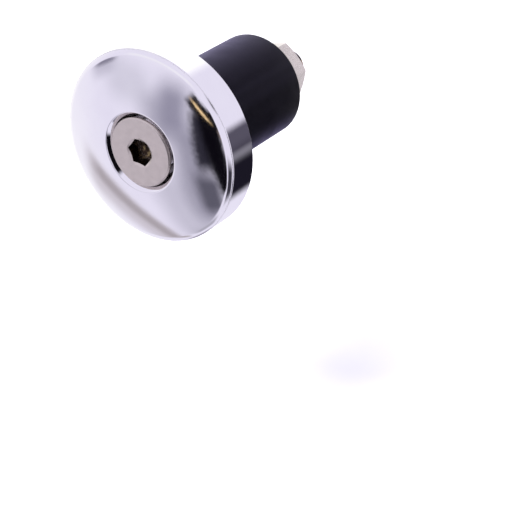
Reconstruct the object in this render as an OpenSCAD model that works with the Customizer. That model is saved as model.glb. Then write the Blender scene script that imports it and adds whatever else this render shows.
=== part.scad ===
// Bar end for a motorbike handlebar: a domed, polished cap, held in the bar by a rubber
// sleeve that swells when its countersunk socket screw draws a nut up behind it.
// Axial sizes are measured along the bar from the seat, the cap's back face.

/* [Cap] */
// Outside diameter of the cap
cap_d = 32; // [26:0.5:40]
// Width of the cap's straight rim, with the bevel at the back
rim_w = 5.5; // [3.5:0.1:10]
// Bevel round the back edge of the rim
back_bevel = 0.35; // [0.1:0.05:1]
// Radial width of the bevel between rim and dome
front_bevel_w = 0.45; // [0.2:0.05:1.2]
// Axial height of the bevel between rim and dome
front_bevel_h = 0.35; // [0.2:0.05:1.2]
// Rise of the dome from the front bevel to the countersink's edge
dome_rise = 2.5; // [1:0.05:4]
// Diameter of the countersink where it breaks the dome
countersink_d = 13.3; // [12.7:0.1:16]
// Clearance round the screw in the cap, the sleeve and the washers
screw_clearance = 0.3; // [0.1:0.05:0.6]

/* [Sleeve] */
// Outside diameter of the rubber sleeve, which goes inside the bar
sleeve_d = 17.9; // [14:0.1:22]
// Length of the rubber sleeve
sleeve_l = 24.5; // [15:0.5:40]
// Rounding of the sleeve's leading edge, which goes into the bar first
sleeve_round = 0.25; // [0.1:0.05:0.8]

/* [Screw] */
// Thread diameter
thread_d = 6; // [5:0.5:7]
// Diameter of the flat head
head_d = 11.4; // [10.5:0.1:11.8]
// Depth of the head's face below the countersink's edge
head_recess = 0.4; // [0.1:0.05:0.6]
// Width across the flats of the key socket
socket_af = 4; // [3:0.1:5]
// Depth of the key socket's flats
socket_depth = 2.4; // [1.5:0.1:2.8]
// Turn of the key socket about the axis
socket_turn = -7; // [-30:1:30]
// Radial width of the socket's chamfer outside its corners
socket_chamfer = 0.1; // [0.05:0.05:0.3]
// Length of thread left standing past the nut
thread_stickout = 3.6; // [1:0.1:10]
// Chamfer at the tip of the thread
tip_chamfer = 0.6; // [0.3:0.1:1]

/* [Washers] */
// Outside diameter of the black spacer against the sleeve
spacer_d = 12.8; // [11:0.1:16]
// Thickness of the spacer
spacer_t = 1; // [0.6:0.1:3]
// Outside diameter of the plated flat washer
washer_d = 12.5; // [11:0.1:16]
// Thickness of the flat washer
washer_t = 1.6; // [0.8:0.1:3]
// Rounding of the flat washer's stamped edge
washer_round = 0.3; // [0.1:0.05:0.35]

/* [Nut] */
// Width across the nut's flats
nut_af = 10; // [9:0.1:13]
// Thickness of the nut
nut_h = 5; // [3:0.1:8]
// Angle of the chamfers on the nut's corners
nut_chamfer_angle = 30; // [20:1:40]
// Clearance between the nut's bore and the screw
thread_clearance = 0.05; // [0.02:0.01:0.1]

/* [Hidden] */

cap_r = cap_d / 2;
thread_r = thread_d / 2;
hole_r = thread_r + screw_clearance;
head_r = head_d / 2;
sleeve_r = sleeve_d / 2;

// The dome is part of a sphere through the front bevel's inner edge and the countersink's edge
edge_r = cap_r - front_bevel_w;
edge_z = rim_w + front_bevel_h;
mouth_r = countersink_d / 2;
mouth_z = edge_z + dome_rise;
dome_centre_z = (edge_z + mouth_z) / 2 - (edge_r * edge_r - mouth_r * mouth_r) / (2 * dome_rise);
dome_r = norm([edge_r, edge_z - dome_centre_z]);

// The head's cone lies on the 90 degree countersink, so both have one slope of 1 to 1
head_z = mouth_z - head_recess;
head_side_z = mouth_z - (mouth_r - head_r);
neck_z = head_side_z - (head_r - thread_r);
countersink_floor_z = mouth_z - (mouth_r - hole_r);

// The stack behind the seat, outwards being positive
spacer_z = -sleeve_l;
washer_z = spacer_z - spacer_t;
nut_z = washer_z - washer_t;
tip_z = nut_z - nut_h - thread_stickout;

hex_corner = 1 / cos(30);
over = 1;
round_fn = 120;
dome_fn = 240;
small_fn = 48;

// Turns a shape drawn along Z, with the cap's face upwards, so that the face looks along -Y
module along_bar() {
    rotate([90, 0, 0]) children();
}

// A ring about the axis, standing on z, with a straight bore
module ring(outer_r, bore_r, z, height) {
    translate([0, 0, z]) difference() {
        cylinder(r = outer_r, h = height, $fn = round_fn);
        translate([0, 0, -over]) cylinder(r = bore_r, h = height + 2 * over, $fn = round_fn);
    }
}

// Half section of a disc whose outer edges are rounded, its lowest face on the X axis
module rounded_section(outer_r, height, edge_round) {
    square([outer_r - edge_round, height]);
    translate([0, edge_round]) square([outer_r, height - 2 * edge_round]);
    for (z = [edge_round, height - edge_round])
        translate([outer_r - edge_round, z]) circle(r = edge_round, $fn = small_fn);
}

module end_cap() {
    // The front bevel's line runs on past the dome, which then cuts it at the edge
    past = 3;
    color([0.86, 0.86, 0.9]) along_bar() difference() {
        intersection() {
            rotate_extrude($fn = dome_fn) polygon([
                [0, 0],
                [cap_r - back_bevel, 0],
                [cap_r, back_bevel],
                [cap_r, rim_w],
                [cap_r - past * front_bevel_w, rim_w + past * front_bevel_h],
                [0, rim_w + past * front_bevel_h + dome_rise]
            ]);
            translate([0, 0, dome_centre_z]) sphere(r = dome_r, $fn = dome_fn);
        }
        translate([0, 0, -over]) cylinder(r = hole_r, h = mouth_z + over, $fn = round_fn);
        translate([0, 0, countersink_floor_z])
            cylinder(r1 = hole_r, r2 = mouth_r + over, h = mouth_r + over - hole_r, $fn = round_fn);
    }
}

module key_socket() {
    socket_r = socket_af / 2 * hex_corner;
    // The drilled hole's point is under the flats, and the mouth's cone runs from just inside
    // them to past the corners
    drill_r = socket_af / 2 * 0.9;
    mouth_in = socket_af / 2 * 0.95;
    mouth_out = socket_r + socket_chamfer;
    slope = tan(30);
    translate([0, 0, head_z - socket_depth]) rotate([0, 0, socket_turn]) {
        linear_extrude(height = socket_depth + over) circle(r = socket_r, $fn = 6);
        translate([0, 0, -drill_r * slope])
            cylinder(r1 = 0, r2 = drill_r, h = drill_r * slope, $fn = small_fn);
        translate([0, 0, socket_depth - (mouth_out - mouth_in) * slope])
            cylinder(r1 = mouth_in, r2 = mouth_out + over,
                     h = (mouth_out + over - mouth_in) * slope, $fn = small_fn);
    }
}

module socket_screw() {
    color([0.76, 0.73, 0.72]) along_bar() difference() {
        rotate_extrude($fn = round_fn) polygon([
            [0, tip_z],
            [thread_r - tip_chamfer, tip_z],
            [thread_r, tip_z + tip_chamfer],
            [thread_r, neck_z],
            [head_r, head_side_z],
            [head_r, head_z],
            [0, head_z]
        ]);
        key_socket();
    }
}

module rubber_sleeve() {
    // Cut square at the seat, where it takes the cap's thrust
    color([0.05, 0.05, 0.06]) along_bar() difference() {
        translate([0, 0, -sleeve_l]) rotate_extrude($fn = round_fn) {
            rounded_section(sleeve_r, sleeve_l / 2, sleeve_round);
            translate([0, sleeve_l / 4]) square([sleeve_r, sleeve_l * 3 / 4]);
        }
        translate([0, 0, -sleeve_l - over])
            cylinder(r = hole_r, h = sleeve_l + 2 * over, $fn = round_fn);
    }
}

module spacer_washer() {
    color([0.07, 0.07, 0.07]) along_bar()
        ring(spacer_d / 2, hole_r, spacer_z - spacer_t, spacer_t);
}

module flat_washer() {
    color([0.78, 0.75, 0.74]) along_bar() difference() {
        translate([0, 0, washer_z - washer_t])
            rotate_extrude($fn = round_fn) rounded_section(washer_d / 2, washer_t, washer_round);
        translate([0, 0, washer_z - washer_t - over])
            cylinder(r = hole_r, h = washer_t + 2 * over, $fn = round_fn);
    }
}

module hex_nut() {
    corner_r = nut_af / 2 * hex_corner;
    // The turned chamfers start just inside the flats and run out past the corners
    flat_r = nut_af / 2 * 0.95;
    out_r = corner_r + over / 2;
    chamfer_h = (out_r - flat_r) * tan(nut_chamfer_angle);
    bore_r = thread_r + thread_clearance;
    mouth_chamfer = 0.4;
    color([0.72, 0.69, 0.67]) along_bar() translate([0, 0, nut_z - nut_h]) difference() {
        intersection() {
            rotate([0, 0, 15]) linear_extrude(height = nut_h) circle(r = corner_r, $fn = 6);
            rotate_extrude($fn = round_fn) polygon([
                [0, 0],
                [flat_r, 0],
                [out_r, chamfer_h],
                [out_r, nut_h - chamfer_h],
                [flat_r, nut_h],
                [0, nut_h]
            ]);
        }
        translate([0, 0, -over]) cylinder(r = bore_r, h = nut_h + 2 * over, $fn = round_fn);
        // Countersunk mouths of the thread
        translate([0, 0, -mouth_chamfer])
            cylinder(r1 = bore_r + 2 * mouth_chamfer, r2 = bore_r, h = 2 * mouth_chamfer, $fn = small_fn);
        translate([0, 0, nut_h - mouth_chamfer])
            cylinder(r1 = bore_r, r2 = bore_r + 2 * mouth_chamfer, h = 2 * mouth_chamfer, $fn = small_fn);
    }
}

end_cap();
socket_screw();
rubber_sleeve();
spacer_washer();
flat_washer();
hex_nut();
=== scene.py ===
# The looks of a motorbike's bar end. The frame's axis is Y, with the domed face towards -Y.
# Sections are drawn in millimetres as (radius, along), where along runs from the seat towards the nut.
import math

import bmesh
import bpy
from mathutils import Matrix, Vector


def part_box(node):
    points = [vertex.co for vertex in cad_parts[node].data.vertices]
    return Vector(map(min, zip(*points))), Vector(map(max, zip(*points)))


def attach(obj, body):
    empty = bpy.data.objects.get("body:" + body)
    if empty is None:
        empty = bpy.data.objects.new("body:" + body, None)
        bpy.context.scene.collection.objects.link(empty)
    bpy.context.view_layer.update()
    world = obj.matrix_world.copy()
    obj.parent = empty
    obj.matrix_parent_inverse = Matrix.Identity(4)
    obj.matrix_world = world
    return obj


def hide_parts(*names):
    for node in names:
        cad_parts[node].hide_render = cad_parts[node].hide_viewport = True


mm = 0.001

print("stage: load the frame")
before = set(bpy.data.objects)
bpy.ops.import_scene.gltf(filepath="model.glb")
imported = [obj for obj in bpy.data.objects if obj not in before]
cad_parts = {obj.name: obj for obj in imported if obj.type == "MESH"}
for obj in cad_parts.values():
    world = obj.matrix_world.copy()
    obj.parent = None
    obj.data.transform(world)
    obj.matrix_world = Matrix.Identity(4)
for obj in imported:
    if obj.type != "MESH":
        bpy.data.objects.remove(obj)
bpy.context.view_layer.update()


def nodeBox(name):
    low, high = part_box(name)
    return low / mm, high / mm


# Colour and node helpers


def linearColour(hexCode):
    channels = [int(hexCode[i : i + 2], 16) / 255 for i in (1, 3, 5)]
    return [c / 12.92 if c <= 0.04045 else ((c + 0.055) / 1.055) ** 2.4 for c in channels] + [1]


def addNode(tree, kind, inputs=None, **settings):
    node = tree.nodes.new(kind)
    for name, value in settings.items():
        setattr(node, name, value)
    for socket, value in (inputs or {}).items():
        if isinstance(value, bpy.types.NodeSocket):
            tree.links.new(value, node.inputs[socket])
        else:
            node.inputs[socket].default_value = value
    return node


def newMaterial(name):
    material = bpy.data.materials.new(name)
    material.use_nodes = True
    tree = material.node_tree
    shader = tree.nodes["Principled BSDF"]
    place = addNode(tree, "ShaderNodeTexCoord").outputs["Object"]
    return material, tree, shader, place


# Shape helpers


def eased(section, steps=5, hold=0.02):
    # Rounds each corner that names an easing, and holds the faces beside it flat with a close point
    points = []
    count = len(section)
    for i, corner in enumerate(section):
        here = Vector(corner[:2])
        ease = corner[2] if len(corner) > 2 else 0
        if not ease:
            points.append(here)
            continue
        before = (Vector(section[i - 1][:2]) - here).normalized()
        after = (Vector(section[(i + 1) % count][:2]) - here).normalized()
        reach = ease / math.tan(before.angle(after) / 2)
        start, end = here + before * reach, here + after * reach
        points.append(start + before * hold)
        for step in range(steps + 1):
            t = step / steps
            points.append(start * (1 - t) ** 2 + here * (2 * t * (1 - t)) + end * t**2)
        points.append(end + after * hold)
    return points


def turned(name, section, steps=192):
    shape = bmesh.new()
    corners = [shape.verts.new((radius * mm, along * mm, 0)) for radius, along in section]
    following = corners[1:] + corners[:1]
    edges = [shape.edges.new(pair) for pair in zip(corners, following)]
    bmesh.ops.spin(
        shape,
        geom=corners + edges,
        cent=(0, 0, 0),
        axis=(0, 1, 0),
        angle=2 * math.pi,
        steps=steps,
        use_merge=True,
    )
    return finished(name, shape)


def finished(name, shape, smooth=True):
    bmesh.ops.remove_doubles(shape, verts=shape.verts, dist=0.0005 * mm)
    bmesh.ops.recalc_face_normals(shape, faces=shape.faces)
    mesh = bpy.data.meshes.new(name)
    shape.to_mesh(mesh)
    shape.free()
    for polygon in mesh.polygons:
        polygon.use_smooth = smooth
    piece = bpy.data.objects.new(name, mesh)
    bpy.context.scene.collection.objects.link(piece)
    return piece


def cutBy(piece, tool, operation="DIFFERENCE"):
    cut = piece.modifiers.new("cut", "BOOLEAN")
    cut.object, cut.operation, cut.solver = tool, operation, "EXACT"
    depsgraph = bpy.context.evaluated_depsgraph_get()
    mesh = bpy.data.meshes.new_from_object(piece.evaluated_get(depsgraph))
    piece.modifiers.clear()
    piece.data = mesh
    bpy.data.objects.remove(tool)


def crisp(piece, degrees=28):
    piece.data.set_sharp_from_angle(angle=math.radians(degrees))


def alongAxis(offset, turn=0):
    # Stands a shape made along Z on the part's axis, offset millimetres along it from the seat
    return (
        Matrix.Translation((0, offset * mm, 0))
        @ Matrix.Rotation(math.radians(-90), 4, "X")
        @ Matrix.Rotation(math.radians(turn), 4, "Z")
    )


def dressed(piece, material, slot, *nodes):
    piece.data.materials.clear()
    piece.data.materials.append(material)
    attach(piece, "root")
    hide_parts(*nodes)


# In the looks below, a pattern is given as how many of its waves fit in a millimetre, and a bump's
# depth is in millimetres
noiseRange = {"From Min": 0.3, "From Max": 0.7}  # where most of a noise's values lie

# Polished aluminium: turned and buffed to a mirror, with a cloudy haze, soft waves and faint rings.
# The mop's own rings are too fine to show, so they are drawn about 0.1 mm wide.


def makePolishedAluminium():
    look = {
        "colour": "#F5F4F7",
        "dull": "#EFEDF2",
        "roughness": 0.04,
        "haze": 0.03,
        "hazeStarts": 0.35,
        "hazeFull": 0.75,
        "cloudsPerMm": 0.26,
        "wavesPerMm": 1.1,
        "waveDepth": 0.004,
        "waveStrength": 0.5,
        "ringsPerMm": 9,
        "ringDepth": 0.004,
        "ringStrength": 0.06,
    }
    material, tree, shader, place = newMaterial("polishedAluminium")
    apart = addNode(tree, "ShaderNodeSeparateXYZ", {0: place})
    flat = addNode(tree, "ShaderNodeCombineXYZ", {"X": apart.outputs["X"], "Z": apart.outputs["Z"]})
    radius = addNode(tree, "ShaderNodeVectorMath", {0: flat.outputs[0]}, operation="LENGTH")
    ringPlace = addNode(
        tree, "ShaderNodeCombineXYZ", {"X": radius.outputs["Value"], "Y": apart.outputs["Y"]}
    )
    rings = addNode(
        tree,
        "ShaderNodeTexNoise",
        {
            "Vector": ringPlace.outputs[0],
            "Scale": look["ringsPerMm"] / mm,
            "Detail": 3,
            "Roughness": 0.6,
        },
    )
    clouds = addNode(
        tree, "ShaderNodeTexNoise", {"Vector": place, "Scale": look["cloudsPerMm"] / mm, "Detail": 4}
    )
    tint = addNode(
        tree,
        "ShaderNodeMix",
        {
            "Factor": clouds.outputs["Fac"],
            "A": linearColour(look["colour"]),
            "B": linearColour(look["dull"]),
        },
        data_type="RGBA",
    )
    haze = addNode(
        tree,
        "ShaderNodeMapRange",
        {
            "Value": clouds.outputs["Fac"],
            "From Min": look["hazeStarts"],
            "From Max": look["hazeFull"],
            "To Min": look["roughness"],
            "To Max": look["roughness"] + look["haze"],
        },
    )
    waves = addNode(
        tree, "ShaderNodeTexNoise", {"Vector": place, "Scale": look["wavesPerMm"] / mm, "Detail": 2}
    )
    ripple = addNode(
        tree,
        "ShaderNodeBump",
        {
            "Height": waves.outputs["Fac"],
            "Strength": look["waveStrength"],
            "Distance": look["waveDepth"] * mm,
        },
    )
    bump = addNode(
        tree,
        "ShaderNodeBump",
        {
            "Height": rings.outputs["Fac"],
            "Strength": look["ringStrength"],
            "Distance": look["ringDepth"] * mm,
            "Normal": ripple.outputs["Normal"],
        },
    )
    tree.links.new(tint.outputs["Result"], shader.inputs["Base Color"])
    tree.links.new(haze.outputs["Result"], shader.inputs["Roughness"])
    tree.links.new(bump.outputs["Normal"], shader.inputs["Normal"])
    shader.inputs["Metallic"].default_value = 1
    return material


# Nickel plated steel: warm grey and satin, with soft patches and specks. The plate's own grain is
# too fine to show, so the specks are drawn about 0.2 mm wide.


def makePlatedSteel(name, look):
    plate = {
        "patchesPerMm": 0.9,
        "darkest": 0.86,
        "lightest": 1.1,
        "specksPerMm": 5.2,
        "speckDepth": 0.01,
        "smoothest": 0.8,
        "roughest": 1.25,
    }
    material, tree, shader, place = newMaterial(name)
    specks = addNode(
        tree,
        "ShaderNodeTexNoise",
        {"Vector": place, "Scale": plate["specksPerMm"] / mm, "Detail": 5, "Roughness": 0.7},
    )
    patches = addNode(
        tree, "ShaderNodeTexNoise", {"Vector": place, "Scale": plate["patchesPerMm"] / mm, "Detail": 4}
    )
    colour = linearColour(look["colour"])[:3]
    tint = addNode(
        tree,
        "ShaderNodeMix",
        {
            "Factor": patches.outputs["Fac"],
            "A": [c * plate["darkest"] for c in colour] + [1],
            "B": [min(1, c * plate["lightest"]) for c in colour] + [1],
        },
        data_type="RGBA",
    )
    gloss = addNode(
        tree,
        "ShaderNodeMapRange",
        {
            "Value": specks.outputs["Fac"],
            **noiseRange,
            "To Min": look["roughness"] * plate["smoothest"],
            "To Max": look["roughness"] * plate["roughest"],
        },
    )
    bump = addNode(
        tree,
        "ShaderNodeBump",
        {
            "Height": specks.outputs["Fac"],
            "Strength": look["grain"],
            "Distance": plate["speckDepth"] * mm,
        },
    )
    tree.links.new(tint.outputs["Result"], shader.inputs["Base Color"])
    tree.links.new(gloss.outputs["Result"], shader.inputs["Roughness"])
    tree.links.new(bump.outputs["Normal"], shader.inputs["Normal"])
    shader.inputs["Metallic"].default_value = 1
    return material


# The key socket's walls: painted shade, patchy dark brown with paler brown between, for the shade down
# in the recess


def makeSocketShadeSteel():
    look = {
        "deepShade": "#1B1410",
        "deepShadeUpTo": 0.34,
        "midShade": "#4A3D33",
        "midShadeAt": 0.52,
        "paleShade": "#A08E66",
        "paleShadeFrom": 0.7,
        "deepShadeRoughness": 0.42,
        "paleShadeRoughness": 0.24,
        "shadePatchesPerMm": 1.5,
        "shadeDepth": 0.05,
        "shadeBumpStrength": 0.4,
    }
    material, tree, shader, place = newMaterial("socketShadeSteel")
    shadePatches = addNode(
        tree,
        "ShaderNodeTexNoise",
        {"Vector": place, "Scale": look["shadePatchesPerMm"] / mm, "Detail": 5, "Roughness": 0.65},
    )
    ramp = addNode(tree, "ShaderNodeValToRGB", {"Fac": shadePatches.outputs["Fac"]})
    bands = ramp.color_ramp.elements
    bands[0].position, bands[0].color = look["deepShadeUpTo"], linearColour(look["deepShade"])
    bands[1].position, bands[1].color = look["paleShadeFrom"], linearColour(look["paleShade"])
    middle = bands.new(look["midShadeAt"])
    middle.color = linearColour(look["midShade"])
    gloss = addNode(
        tree,
        "ShaderNodeMapRange",
        {
            "Value": shadePatches.outputs["Fac"],
            **noiseRange,
            "To Min": look["deepShadeRoughness"],
            "To Max": look["paleShadeRoughness"],
        },
    )
    bump = addNode(
        tree,
        "ShaderNodeBump",
        {
            "Height": shadePatches.outputs["Fac"],
            "Strength": look["shadeBumpStrength"],
            "Distance": look["shadeDepth"] * mm,
        },
    )
    tree.links.new(ramp.outputs["Color"], shader.inputs["Base Color"])
    tree.links.new(gloss.outputs["Result"], shader.inputs["Roughness"])
    tree.links.new(bump.outputs["Normal"], shader.inputs["Normal"])
    shader.inputs["Metallic"].default_value = 1
    return material


# Black rubber: smooth, with a faint bloom and a moulded grain. The real grain is too fine to show,
# so it is drawn about 0.15 mm wide.


def makeBlackRubber():
    look = {
        "colour": "#0C0A11",
        "bloomColour": "#15121C",
        "roughness": 0.32,
        "bloomRoughness": 0.44,
        "ior": 1.52,
        "bloomPerMm": 0.42,
        "grainPerMm": 7,
        "grainDepth": 0.02,
        "grainStrength": 0.25,
    }
    material, tree, shader, place = newMaterial("blackRubber")
    grain = addNode(
        tree,
        "ShaderNodeTexNoise",
        {"Vector": place, "Scale": look["grainPerMm"] / mm, "Detail": 4, "Roughness": 0.6},
    )
    bloom = addNode(
        tree, "ShaderNodeTexNoise", {"Vector": place, "Scale": look["bloomPerMm"] / mm, "Detail": 5}
    )
    tint = addNode(
        tree,
        "ShaderNodeMix",
        {
            "Factor": bloom.outputs["Fac"],
            "A": linearColour(look["colour"]),
            "B": linearColour(look["bloomColour"]),
        },
        data_type="RGBA",
    )
    gloss = addNode(
        tree,
        "ShaderNodeMapRange",
        {
            "Value": bloom.outputs["Fac"],
            **noiseRange,
            "To Min": look["roughness"],
            "To Max": look["bloomRoughness"],
        },
    )
    bump = addNode(
        tree,
        "ShaderNodeBump",
        {
            "Height": grain.outputs["Fac"],
            "Strength": look["grainStrength"],
            "Distance": look["grainDepth"] * mm,
        },
    )
    tree.links.new(tint.outputs["Result"], shader.inputs["Base Color"])
    tree.links.new(gloss.outputs["Result"], shader.inputs["Roughness"])
    tree.links.new(bump.outputs["Normal"], shader.inputs["Normal"])
    shader.inputs["IOR"].default_value = look["ior"]
    return material


# Black nylon: matt, with a slight mottling


def makeBlackNylon():
    look = {
        "colour": "#0A0A0B",
        "mottleColour": "#161517",
        "roughness": 0.55,
        "ior": 1.53,
        "mottlePerMm": 2.5,
        "mottleDepth": 0.02,
        "mottleStrength": 0.3,
    }
    material, tree, shader, place = newMaterial("blackNylon")
    mottle = addNode(
        tree, "ShaderNodeTexNoise", {"Vector": place, "Scale": look["mottlePerMm"] / mm, "Detail": 4}
    )
    tint = addNode(
        tree,
        "ShaderNodeMix",
        {
            "Factor": mottle.outputs["Fac"],
            "A": linearColour(look["colour"]),
            "B": linearColour(look["mottleColour"]),
        },
        data_type="RGBA",
    )
    bump = addNode(
        tree,
        "ShaderNodeBump",
        {
            "Height": mottle.outputs["Fac"],
            "Strength": look["mottleStrength"],
            "Distance": look["mottleDepth"] * mm,
        },
    )
    tree.links.new(tint.outputs["Result"], shader.inputs["Base Color"])
    tree.links.new(bump.outputs["Normal"], shader.inputs["Normal"])
    shader.inputs["Roughness"].default_value = look["roughness"]
    shader.inputs["IOR"].default_value = look["ior"]
    return material


print("stage: materials")
polishedAluminium = makePolishedAluminium()
headNickel = makePlatedSteel("headNickel", {"colour": "#D5CCC6", "roughness": 0.34, "grain": 0.1})
threadNickel = makePlatedSteel(
    "threadNickel", {"colour": "#C9B8A8", "roughness": 0.2, "grain": 0.12}
)
brightNickel = makePlatedSteel(
    "brightNickel", {"colour": "#D9D2CE", "roughness": 0.24, "grain": 0.08}
)
# Painted shade for the walls and drill point inside the key socket
socketShadeSteel = makeSocketShadeSteel()
blackRubber = makeBlackRubber()
blackNylon = makeBlackNylon()


# The end cap: dome, countersink, rim and flat back, turned in one piece


def makeEndCap():
    low, high = nodeBox("end_cap")
    cap = {
        "rimRadius": high.x,
        "rimWidth": 5.5,
        "edgeIn": 0.45,
        "edgeOut": 0.35,
        "edgeEase": 0.25,
        "mouthRadius": 6.65,
        "mouthAlong": low.y,
        "mouthEase": 0.35,
        "holeRadius": 3.3,
        "holeEase": 0.08,
        "seatStart": -5.0,
        "seatEase": 0.05,
        "seatRadius": 4.1,
        "ringRadius": 4.25,
        "ringEase": 0.03,
        "backBevel": 0.35,
        "backRimEase": 0.08,
        "backFaceEase": 0.06,
        "domePoints": 36,
        "shoulderReach": 0.5,
        "shoulderEase": 3,
    }
    # The dome is part of a sphere through the front bevel's inner edge and the mouth
    edgeRadius = cap["rimRadius"] - cap["edgeIn"]
    edgeAlong = -cap["rimWidth"] - cap["edgeOut"]
    rise = edgeAlong - cap["mouthAlong"]
    centre = (edgeAlong + cap["mouthAlong"]) / 2 + (
        edgeRadius**2 - cap["mouthRadius"] ** 2
    ) / (2 * rise)
    sphereRadius = math.hypot(edgeRadius, edgeAlong - centre)

    # The 90 degree seat carries the head, and the ring round the head is cut a little deeper
    seatEnd = cap["seatStart"] - (cap["seatRadius"] - cap["holeRadius"])
    ringStart = cap["mouthAlong"] + cap["mouthRadius"] - cap["ringRadius"]
    section = [
        (cap["holeRadius"], 0, cap["holeEase"]),
        (cap["holeRadius"], cap["seatStart"], cap["seatEase"]),
        (cap["seatRadius"], seatEnd, cap["ringEase"]),
        (cap["ringRadius"], ringStart, cap["ringEase"]),
        (cap["mouthRadius"], cap["mouthAlong"], cap["mouthEase"]),
    ]
    domeEnd = edgeRadius - cap["shoulderReach"]
    for step in range(1, cap["domePoints"]):
        radius = cap["mouthRadius"] + (domeEnd - cap["mouthRadius"]) * step / cap["domePoints"]
        section.append((radius, centre - math.sqrt(sphereRadius**2 - radius**2)))
    section += [
        (edgeRadius, edgeAlong, cap["shoulderEase"]),
        (cap["rimRadius"], -cap["rimWidth"], cap["edgeEase"]),
        (cap["rimRadius"], -cap["backBevel"], cap["backRimEase"]),
        (cap["rimRadius"] - cap["backBevel"], 0, cap["backFaceEase"]),
    ]
    piece = turned("capBody", eased(section))
    dressed(piece, polishedAluminium, "polished_aluminium", "end_cap")


# The socket screw: flat head on a 90 degree cone, hexagon socket, shank and rolled thread


def screwSizes():
    low, high = nodeBox("socket_screw")
    screw = {
        "headRadius": high.x,
        "faceAlong": low.y,
        "sideHeight": 0.55,
        "edgeChamfer": 0.18,
        "edgeEase": 0.06,
        "sideEase": 0.05,
        "neckEase": 0.3,
        "shankRadius": 3.0,
        "tipAlong": high.y,
        "tipRadius": 2.35,
        "socketFlats": 4.0,
        "socketDepth": 2.4,
        "socketTurn": 37,
        "drillRadius": 1.8,
        "mouthIn": 1.9,
        "mouthOut": 2.41,
        # How far below the face the socket's painted shade starts
        "shadeDepth": 0.12,
        "rootRadius": 2.39,
        "rootEase": 0.03,
        "crestEase": 0.04,
        "pitch": 1.0,
        "threadLength": 24,
        "runOut": 0.5,
        "stepsPerTurn": 64,
    }
    screw["threadStart"] = screw["tipAlong"] - screw["threadLength"]
    screw["cornerRadius"] = screw["socketFlats"] / 2 / math.cos(math.pi / 6)
    return screw


def makeScrewBody(screw):
    radius, face = screw["headRadius"], screw["faceAlong"]
    shank, root = screw["shankRadius"], screw["rootRadius"]
    coneEnd = face + screw["sideHeight"] + radius - shank
    thinned = screw["threadStart"] + screw["runOut"]
    head = turned(
        "screwBody",
        eased(
            [
                (0, face),
                (radius - screw["edgeChamfer"], face, screw["edgeEase"]),
                (radius, face + screw["edgeChamfer"], screw["edgeEase"]),
                (radius, face + screw["sideHeight"], screw["sideEase"]),
                (shank, coneEnd, screw["neckEase"]),
                (shank, screw["threadStart"]),
                (root, thinned),
                (root, thinned + screw["pitch"]),
                (0, thinned + screw["pitch"]),
            ],
        ),
        steps=96,
    )
    cutSocket(head, screw)
    crisp(head)
    dressed(head, headNickel, "plated_steel", "socket_screw")

    # Below its mouth the socket's walls and drill point take the painted shade, but not its flat
    # ledge, which faces out
    margin = 0.02
    ledgeNormal = 0.95
    head.data.materials.append(socketShadeSteel)
    for polygon in head.data.polygons:
        away = math.hypot(polygon.center.x, polygon.center.z)
        inside = away < (screw["cornerRadius"] - margin) * mm
        deep = polygon.center.y > (face + screw["shadeDepth"]) * mm
        if inside and deep and abs(polygon.normal.y) < ledgeNormal:
            polygon.material_index = 1


def cutSocket(head, screw):
    # Hexagon, drill point and chamfered mouth, the last two as cones of 30 degrees
    face, depth = screw["faceAlong"], screw["socketDepth"]
    slope = math.tan(math.pi / 6)
    hexagon = bmesh.new()
    bmesh.ops.create_cone(
        hexagon,
        cap_ends=True,
        segments=6,
        radius1=screw["cornerRadius"] * mm,
        radius2=screw["cornerRadius"] * mm,
        depth=2 * depth * mm,
        matrix=alongAxis(face, screw["socketTurn"]),
    )
    cutBy(head, finished("socketTool", hexagon, smooth=False))

    overlap = 0.001
    pointHeight = screw["drillRadius"] * slope
    point = bmesh.new()
    bmesh.ops.create_cone(
        point,
        cap_ends=True,
        segments=48,
        radius1=screw["drillRadius"] * mm,
        radius2=0,
        depth=pointHeight * mm,
        matrix=alongAxis(face + depth + pointHeight / 2 - overlap),
    )
    cutBy(head, finished("pointTool", point, smooth=False))

    # The mouth's cone runs on 1 mm wider, which takes it out past the face
    past = 1
    inward = (screw["mouthOut"] - screw["mouthIn"]) * slope
    outward = past * slope
    mouth = bmesh.new()
    bmesh.ops.create_cone(
        mouth,
        cap_ends=True,
        segments=96,
        radius1=(screw["mouthOut"] + past) * mm,
        radius2=screw["mouthIn"] * mm,
        depth=(inward + outward) * mm,
        matrix=alongAxis(face + (inward - outward) / 2),
    )
    cutBy(head, finished("mouthTool", mouth, smooth=False))


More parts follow.
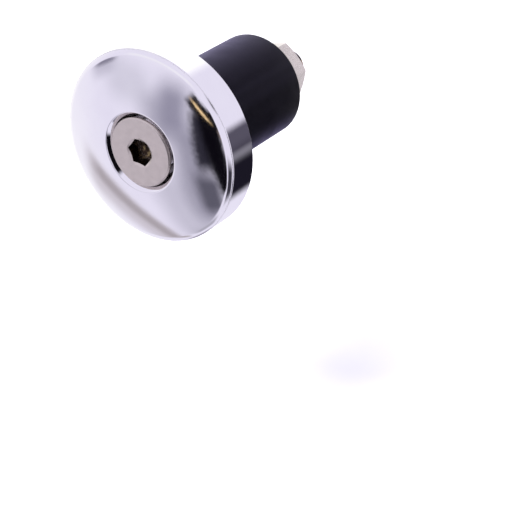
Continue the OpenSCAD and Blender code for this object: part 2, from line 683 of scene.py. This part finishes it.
def makeScrewThread(screw):
    # One pitch of the thread's outline as (share of the pitch, radius), wound to the tip and cut
    # square there
    weld = 0.004
    root, crest = screw["rootRadius"], screw["shankRadius"]
    halfOutline = [
        (0.05, crest),
        (0.09, crest - screw["crestEase"]),
        (0.39, root + screw["rootEase"]),
        (0.5, root),
    ]
    outline = [(-share, radius) for share, radius in reversed(halfOutline)] + halfOutline
    turns = int(screw["threadLength"] / screw["pitch"]) + 1
    start = screw["threadStart"] + screw["runOut"]
    thread = bmesh.new()
    corners = [
        thread.verts.new((radius * mm, (start + share * screw["pitch"]) * mm, 0))
        for share, radius in outline
    ]
    edges = [thread.edges.new(pair) for pair in zip(corners, corners[1:])]
    bmesh.ops.spin(
        thread,
        geom=corners + edges,
        cent=(0, 0, 0),
        axis=(0, 1, 0),
        dvec=(0, screw["pitch"] / screw["stepsPerTurn"] * mm, 0),
        angle=-2 * math.pi * turns,
        steps=turns * screw["stepsPerTurn"],
    )
    bmesh.ops.remove_doubles(thread, verts=thread.verts, dist=weld * mm)

    # The tip's 45 degree chamfer
    tip = screw["tipAlong"]
    for vert in thread.verts:
        radius = math.hypot(vert.co.x, vert.co.z)
        allowed = (screw["tipRadius"] + max(0, tip - vert.co.y / mm)) * mm
        if radius > allowed:
            vert.co.x *= allowed / radius
            vert.co.z *= allowed / radius
    cut = bmesh.ops.bisect_plane(
        thread,
        geom=thread.verts[:] + thread.edges[:] + thread.faces[:],
        plane_co=(0, tip * mm, 0),
        plane_no=(0, 1, 0),
        clear_outer=True,
    )
    rim = [item for item in cut["geom_cut"] if isinstance(item, bmesh.types.BMEdge)]
    bmesh.ops.holes_fill(thread, edges=rim, sides=0)
    piece = finished("screwThread", thread)
    crisp(piece, degrees=40)
    dressed(piece, threadNickel, "plated_steel", "socket_screw")


def makeSocketScrew():
    screw = screwSizes()
    makeScrewBody(screw)
    makeScrewThread(screw)


# The rubber sleeve: a cut length of tube


def makeRubberSleeve():
    low, high = nodeBox("rubber_sleeve")
    sleeve = {"bore": 3.3, "boreEdge": 0.1, "cutEdge": 0.05, "leadEdge": 0.22}
    section = [
        (sleeve["bore"], low.y),
        (high.x, low.y, sleeve["cutEdge"]),
        (high.x, high.y, sleeve["leadEdge"]),
        (sleeve["bore"], high.y, sleeve["boreEdge"]),
    ]
    piece = turned("sleeveBody", eased(section))
    dressed(piece, blackRubber, "black_rubber", "rubber_sleeve")


# The black spacer and the plated washer


def makeSpacer():
    low, high = nodeBox("spacer_washer")
    spacer = {"bore": 3.3, "edge": 0.08}
    section = [
        (spacer["bore"], low.y),
        (high.x, low.y, spacer["edge"]),
        (high.x, high.y, spacer["edge"]),
        (spacer["bore"], high.y),
    ]
    piece = turned("spacerRing", eased(section), steps=128)
    dressed(piece, blackNylon, "black_nylon", "spacer_washer")


def makeFlatWasher():
    low, high = nodeBox("flat_washer")
    washer = {"bore": 3.3, "boreEdge": 0.1, "frontEdge": 0.12, "backEdge": 0.3}
    section = [
        (washer["bore"], low.y, washer["boreEdge"]),
        (high.x, low.y, washer["frontEdge"]),
        (high.x, high.y, washer["backEdge"]),
        (washer["bore"], high.y, washer["boreEdge"]),
    ]
    piece = turned("washerRing", eased(section), steps=128)
    dressed(piece, brightNickel, "plated_steel", "flat_washer")


# The nut: a hexagon with turned chamfers at both ends and countersunk mouths


def makeNut():
    low, high = nodeBox("hex_nut")
    nut = {
        "flats": 10.0,
        "turn": 15,
        "cornerEase": 0.08,
        "chamfer": 30,
        "chamferStart": 4.75,
        "chamferEase": 0.1,
        "past": 0.5,
        "bore": 3.05,
        "boreMouth": 0.4,
    }
    cornerRadius = nut["flats"] / 2 / math.cos(math.pi / 6)
    block = bmesh.new()
    bmesh.ops.create_cone(
        block,
        cap_ends=True,
        segments=6,
        radius1=cornerRadius * mm,
        radius2=cornerRadius * mm,
        depth=(high.y - low.y) * mm,
        matrix=alongAxis((low.y + high.y) / 2, nut["turn"]),
    )
    longEdges = [e for e in block.edges if abs(e.verts[0].co.y - e.verts[1].co.y) > mm]
    bmesh.ops.bevel(
        block,
        geom=longEdges,
        affect="EDGES",
        offset=nut["cornerEase"] * mm,
        offset_type="OFFSET",
        segments=3,
        profile=0.5,
        material=-1,
    )
    piece = finished("nutBody", block, smooth=False)

    flatRadius = nut["chamferStart"]
    outRadius = cornerRadius + nut["past"]
    chamfer = (outRadius - flatRadius) * math.tan(math.radians(nut["chamfer"]))
    bore, mouth = nut["bore"], nut["boreMouth"]
    lathe = turned(
        "nutTool",
        eased(
            [
                (bore, low.y + mouth),
                (bore + mouth, low.y),
                (flatRadius, low.y, nut["chamferEase"]),
                (outRadius, low.y + chamfer),
                (outRadius, high.y - chamfer),
                (flatRadius, high.y, nut["chamferEase"]),
                (bore + mouth, high.y),
                (bore, high.y - mouth),
            ]
        ),
        steps=128,
    )
    cutBy(piece, lathe, "INTERSECT")
    for polygon in piece.data.polygons:
        polygon.use_smooth = True
    crisp(piece, degrees=20)
    dressed(piece, brightNickel, "plated_steel", "hex_nut")


print("stage: pieces")
makeEndCap()
makeSocketScrew()
makeRubberSleeve()
makeSpacer()
makeFlatWasher()
makeNut()


# The studio: white to the camera, while the pieces reflect a room painted by direction


def makeFloor():
    studio = {
        "drop": 45,
        "half": 3000,
        "shade": "#FDFDFD",
        "white": "#FFFFFF",
        "cloudsPerMm": 0.04,
        "roughness": 0.9,
    }
    floor = bmesh.new()
    bmesh.ops.create_grid(floor, x_segments=1, y_segments=1, size=studio["half"] * mm)
    bmesh.ops.translate(floor, verts=floor.verts, vec=(0, 0, -studio["drop"] * mm))
    piece = finished("studioFloor", floor)
    material, tree, shader, place = newMaterial("whitePaper")
    clouds = addNode(
        tree, "ShaderNodeTexNoise", {"Vector": place, "Scale": studio["cloudsPerMm"] / mm, "Detail": 2}
    )
    tint = addNode(
        tree,
        "ShaderNodeMix",
        {
            "Factor": clouds.outputs["Fac"],
            "A": linearColour(studio["shade"]),
            "B": linearColour(studio["white"]),
        },
        data_type="RGBA",
    )
    tree.links.new(tint.outputs["Result"], shader.inputs["Base Color"])
    shader.inputs["Roughness"].default_value = studio["roughness"]
    piece.data.materials.append(material)
    piece.visible_glossy = False


def makeRoom(tree):
    # The room by direction in degrees: X is the bearing from the face, positive to the right,
    # with its seam behind the right shoulder, and Y is the height
    seam = 120
    sight = addNode(tree, "ShaderNodeTexCoord").outputs["Generated"]
    apart = addNode(tree, "ShaderNodeSeparateXYZ", {0: sight})
    forward = addNode(tree, "ShaderNodeMath", {0: apart.outputs["Y"], 1: -1}, operation="MULTIPLY")
    around = addNode(
        tree,
        "ShaderNodeMath",
        {0: apart.outputs["X"], 1: forward.outputs[0]},
        operation="ARCTAN2",
    )
    upward = addNode(tree, "ShaderNodeMath", {0: apart.outputs["Z"]}, operation="ARCSINE")
    swing = addNode(tree, "ShaderNodeMath", {0: around.outputs[0]}, operation="DEGREES")
    height = addNode(tree, "ShaderNodeMath", {0: upward.outputs[0]}, operation="DEGREES")
    bearing = addNode(
        tree,
        "ShaderNodeMath",
        {0: swing.outputs[0], 1: seam, 2: seam - 360},
        operation="WRAP",
    )
    return addNode(
        tree, "ShaderNodeCombineXYZ", {"X": bearing.outputs[0], "Y": height.outputs[0]}
    ).outputs[0]


def paintPatch(tree, room, below, patch):
    # A soft-edged rectangle in the room: place, size, soft and ragged are in degrees
    place = room
    wavesPerDegree = 0.8
    if "ragged" in patch:
        noise = addNode(
            tree, "ShaderNodeTexNoise", {"Vector": room, "Scale": wavesPerDegree, "Detail": 4}
        )
        shift = addNode(
            tree,
            "ShaderNodeMapRange",
            {
                "Vector": noise.outputs["Color"],
                "To Min": [-patch["ragged"]] * 3,
                "To Max": [patch["ragged"]] * 3,
            },
            data_type="FLOAT_VECTOR",
        )
        place = addNode(
            tree, "ShaderNodeVectorMath", {0: room, 1: shift.outputs["Vector"]}, operation="ADD"
        ).outputs[0]
    shape = addNode(
        tree,
        "ShaderNodeMapping",
        {
            "Vector": place,
            "Location": (*patch["place"], 0),
            "Rotation": (0, 0, math.radians(patch.get("turn", 0))),
        },
        vector_type="TEXTURE",
    )
    away = addNode(
        tree, "ShaderNodeVectorMath", {0: shape.outputs[0]}, operation="ABSOLUTE"
    )
    half = [size / 2 for size in patch["size"]]
    fade = addNode(
        tree,
        "ShaderNodeMapRange",
        {
            "Vector": away.outputs[0],
            "From Min": [reach - soft for reach, soft in zip(half, patch["soft"])] + [0],
            "From Max": half + [1],
            "To Min": (1, 1, 1),
            "To Max": (0, 0, 0),
        },
        data_type="FLOAT_VECTOR",
        interpolation_type="SMOOTHSTEP",
    )
    sides = addNode(tree, "ShaderNodeSeparateXYZ", {0: fade.outputs["Vector"]})
    mask = addNode(
        tree,
        "ShaderNodeMath",
        {0: sides.outputs["X"], 1: sides.outputs["Y"]},
        operation="MULTIPLY",
    )
    cover = addNode(
        tree,
        "ShaderNodeMath",
        {0: mask.outputs[0], 1: patch.get("cover", 1)},
        operation="MULTIPLY",
    )
    bright = patch.get("bright", 1)
    colour = [c * bright for c in linearColour(patch["colour"])[:3]] + [1]
    return addNode(
        tree,
        "ShaderNodeMix",
        {"Factor": cover.outputs[0], "A": below, "B": colour},
        data_type="RGBA",
        clamp_result=False,
    ).outputs["Result"]


def makeWorld():
    # Patches later in the list lie over those before them, and all of them over the plain walls
    walls = "#EFEBFB"
    patches = [
        {"place": (-105, -15), "size": (110, 130), "soft": (50, 50), "colour": "#FFFEFF",
         "bright": 1.1, "cover": 0.9},
        {"place": (-26, 14), "size": (50, 16), "soft": (10, 7), "colour": "#FBFAFF", "cover": 0.7},
        {"place": (-42, -2), "size": (34, 22), "soft": (14, 9), "colour": "#DAD7E6", "cover": 0.9},
        {"place": (-22, -44), "size": (48, 42), "soft": (18, 14), "colour": "#BFBCCC",
         "cover": 0.7},
        {"place": (-27, -10), "size": (26, 26), "soft": (12, 10), "colour": "#ADAABB",
         "cover": 0.75},
        {"place": (-13, -30), "size": (28, 50), "soft": (13, 12), "colour": "#A5A2B3"},
        {"place": (-20, -6), "size": (24, 31), "soft": (11, 12), "colour": "#9491A5", "cover": 0.9},
        {"place": (-8, -37), "size": (18, 24), "soft": (7, 8), "colour": "#605E6C"},
        {"place": (-12, -58), "size": (44, 16), "soft": (12, 6), "colour": "#B4B1BF"},
        # The dark side of the room, dappled at its left, with a brass strip in it
        {"place": (-7.8, -15), "size": (13, 32), "soft": (5, 8), "turn": 5, "ragged": 1.4,
         "colour": "#2E2C37"},
        {"place": (-1.8, -19), "size": (12, 38), "soft": (3.5, 4), "turn": 13, "ragged": 1,
         "colour": "#0C0A11"},
        {"place": (-7, -4.6), "size": (20, 6.4), "soft": (4, 1.5), "turn": -42, "ragged": 0.6,
         "colour": "#0F0D14"},
        {"place": (-8, -3.8), "size": (16, 1.2), "soft": (6, 0.5), "turn": -41, "bright": 1.3,
         "colour": "#FFDCA6"},
        {"place": (0.6, -12), "size": (8, 1.6), "soft": (4, 0.7), "turn": -62, "cover": 0.7,
         "colour": "#7E5E3A"},
        # Grey low on the left, darker along its right edge, and a smudge above it
        {"place": (-58, -49), "size": (56, 22), "soft": (8, 9), "turn": -43, "cover": 0.7,
         "colour": "#C8C0C6"},
        {"place": (-55, -47.5), "size": (52, 11), "soft": (8, 5), "turn": -43, "cover": 0.9,
         "colour": "#AFA7AC"},
        {"place": (-55, -2), "size": (20, 9), "soft": (8, 4), "turn": 33, "cover": 0.5,
         "colour": "#A9A6B8"},
        {"place": (-54, 0), "size": (17, 3.4), "soft": (6, 1.6), "turn": 33, "cover": 0.9,
         "colour": "#7F7B8E"},
        # Dark to the right and grey below, seen in the countersink and the front bevel
        {"place": (50, -10), "size": (30, 80), "soft": (3, 13), "colour": "#0D0C10"},
        {"place": (38, 26), "size": (52, 32), "soft": (12, 10), "colour": "#0D0C10"},
        {"place": (21, -33), "size": (26, 34), "soft": (4, 11), "colour": "#3A3842"},
        {"place": (0, -90), "size": (900, 40), "soft": (1, 7), "colour": "#8E8A98"},
        # Behind the cap, seen in its rim
        {"place": (-155, 12), "size": (70, 92), "soft": (16, 12), "colour": "#FFFFFF",
         "bright": 1.25},
        {"place": (-220, -4), "size": (46, 28), "soft": (6, 8), "colour": "#5A5665"},
        {"place": (-217, -31), "size": (64, 56), "soft": (15, 20), "colour": "#1C1A25"},
    ]
    world = bpy.data.worlds.new("studioRoom")
    bpy.context.scene.world = world
    world.use_nodes = True
    tree = world.node_tree
    room = makeRoom(tree)
    painted = addNode(tree, "ShaderNodeRGB").outputs[0]
    painted.default_value = linearColour(walls)
    for patch in patches:
        painted = paintPatch(tree, room, painted, patch)
    seen = tree.nodes["Background"]
    seen.inputs["Color"].default_value = linearColour("#FFFFFF")
    seen.inputs["Strength"].default_value = 1
    lit = addNode(tree, "ShaderNodeBackground", {"Color": painted, "Strength": 1})
    rays = addNode(tree, "ShaderNodeLightPath")
    mix = addNode(
        tree,
        "ShaderNodeMixShader",
        {0: rays.outputs["Is Camera Ray"], 1: lit.outputs[0], 2: seen.outputs[0]},
    )
    tree.links.new(mix.outputs[0], tree.nodes["World Output"].inputs["Surface"])


def newGlow(name):
    material = bpy.data.materials.new(name)
    material.use_nodes = True
    tree = material.node_tree
    tree.nodes.remove(tree.nodes["Principled BSDF"])
    return material, tree, addNode(tree, "ShaderNodeTexCoord").outputs["Object"]


def glow(tree, mask, colour, tint):
    paint = addNode(tree, "ShaderNodeEmission", {"Color": linearColour(colour), "Strength": 1})
    clear = addNode(tree, "ShaderNodeBsdfTransparent", {"Color": linearColour(tint)})
    mix = addNode(
        tree, "ShaderNodeMixShader", {0: mask, 1: clear.outputs[0], 2: paint.outputs[0]}
    )
    tree.links.new(mix.outputs[0], tree.nodes["Material Output"].inputs["Surface"])


def makeCollar(name, collar):
    # A tube round the axis that only reflections see. Between the two full angles, measured from
    # the right and upwards, it is solid, and towards the two clear ones it fades.
    tube = bmesh.new()
    bmesh.ops.create_cone(
        tube,
        cap_ends=False,
        segments=96,
        radius1=collar["radius"] * mm,
        radius2=collar["radius"] * mm,
        depth=(collar["end"] - collar["start"]) * mm,
        matrix=alongAxis((collar["end"] + collar["start"]) / 2),
    )
    piece = finished(name, tube)
    material, tree, place = newGlow(name)
    apart = addNode(tree, "ShaderNodeSeparateXYZ", {0: place})
    angle = addNode(
        tree,
        "ShaderNodeMath",
        {0: apart.outputs["Z"], 1: apart.outputs["X"]},
        operation="ARCTAN2",
    )
    sides = []
    for full, clear in zip(collar["full"], collar["clear"]):
        sides.append(
            addNode(
                tree,
                "ShaderNodeMapRange",
                {
                    "Value": angle.outputs[0],
                    "From Min": math.radians(full),
                    "From Max": math.radians(clear),
                    "To Min": 1,
                    "To Max": 0,
                },
                interpolation_type="SMOOTHSTEP",
            ).outputs["Result"]
        )
    both = addNode(tree, "ShaderNodeMath", {0: sides[0], 1: sides[1]}, operation="MULTIPLY")
    # Streaks along the tube, fainter where the noise is low
    bandsPerRadian = 8
    bands = addNode(
        tree,
        "ShaderNodeTexNoise",
        {"W": angle.outputs[0], "Scale": bandsPerRadian, "Detail": 3, "Roughness": 0.6},
        noise_dimensions="1D",
    )
    streaks = addNode(
        tree,
        "ShaderNodeMapRange",
        {
            "Value": bands.outputs["Fac"],
            "From Min": 0.35,
            "From Max": 0.6,
            "To Min": 1 - collar["streaks"],
            "To Max": 1,
        },
    )
    mask = addNode(
        tree,
        "ShaderNodeMath",
        {0: both.outputs[0], 1: streaks.outputs["Result"]},
        operation="MULTIPLY",
    )
    glow(tree, mask.outputs[0], collar["colour"], collar["tint"])
    piece.data.materials.append(material)
    piece.visible_camera = False
    piece.visible_diffuse = False
    piece.visible_transmission = False
    piece.visible_volume_scatter = False
    piece.visible_shadow = False


def makeCollars():
    # Black round the sleeve and white round the nut
    makeCollar(
        "sleeveFlag",
        {
            "radius": 14,
            "start": 0.6,
            "end": 35,
            "full": (-25, 55),
            "clear": (-100, 150),
            "streaks": 0.45,
            "colour": "#040405",
            "tint": "#CFC8F3",
        },
    )
    makeCollar(
        "nutReflector",
        {
            "radius": 14,
            "start": 35.5,
            "end": 70,
            "full": (-90, 90),
            "clear": (-150, 150),
            "streaks": 0.3,
            "colour": "#F4F0F8",
            "tint": "#FFFFFF",
        },
    )


def makeLamp():
    # A soft white lamp, above and to the left, that reflections don't see
    lamp = {"place": (-250, -150, 420), "aim": (0, 15, 0), "size": 320, "power": 4}
    light = bpy.data.lights.new("keyLamp", "AREA")
    light.shape, light.size, light.energy = "DISK", lamp["size"] * mm, lamp["power"]
    holder = bpy.data.objects.new("keyLamp", light)
    holder.location = Vector(lamp["place"]) * mm
    holder.rotation_mode = "QUATERNION"
    beam = Vector(lamp["aim"]) - Vector(lamp["place"])
    holder.rotation_quaternion = beam.to_track_quat("-Z", "Y")
    holder.visible_glossy = False
    bpy.context.scene.collection.objects.link(holder)


def makeCamera():
    shot = {
        "azimuth": 33.6,
        "elevation": 29.7,
        "distance": 229.2,
        "aim": (17.57, -0.77, -16.93),
        "lens": 100.39,
        "sensor": 36,
        "near": 10,
        "far": 20000,
    }
    across, up = math.radians(shot["azimuth"]), math.radians(shot["elevation"])
    back = Vector((math.sin(across) * math.cos(up), -math.cos(across) * math.cos(up), math.sin(up)))
    camera = bpy.data.cameras.new("shot")
    camera.lens, camera.sensor_width = shot["lens"], shot["sensor"]
    camera.clip_start, camera.clip_end = shot["near"] * mm, shot["far"] * mm
    holder = bpy.data.objects.new("shot", camera)
    holder.location = (Vector(shot["aim"]) + back * shot["distance"]) * mm
    holder.rotation_mode = "QUATERNION"
    holder.rotation_quaternion = (-back).to_track_quat("-Z", "Y")
    bpy.context.scene.collection.objects.link(holder)
    bpy.context.scene.camera = holder


print("stage: studio")
makeFloor()
makeWorld()
makeCollars()
makeLamp()
makeCamera()
bpy.context.scene.view_settings.view_transform = "Standard"

print("stage: finish")
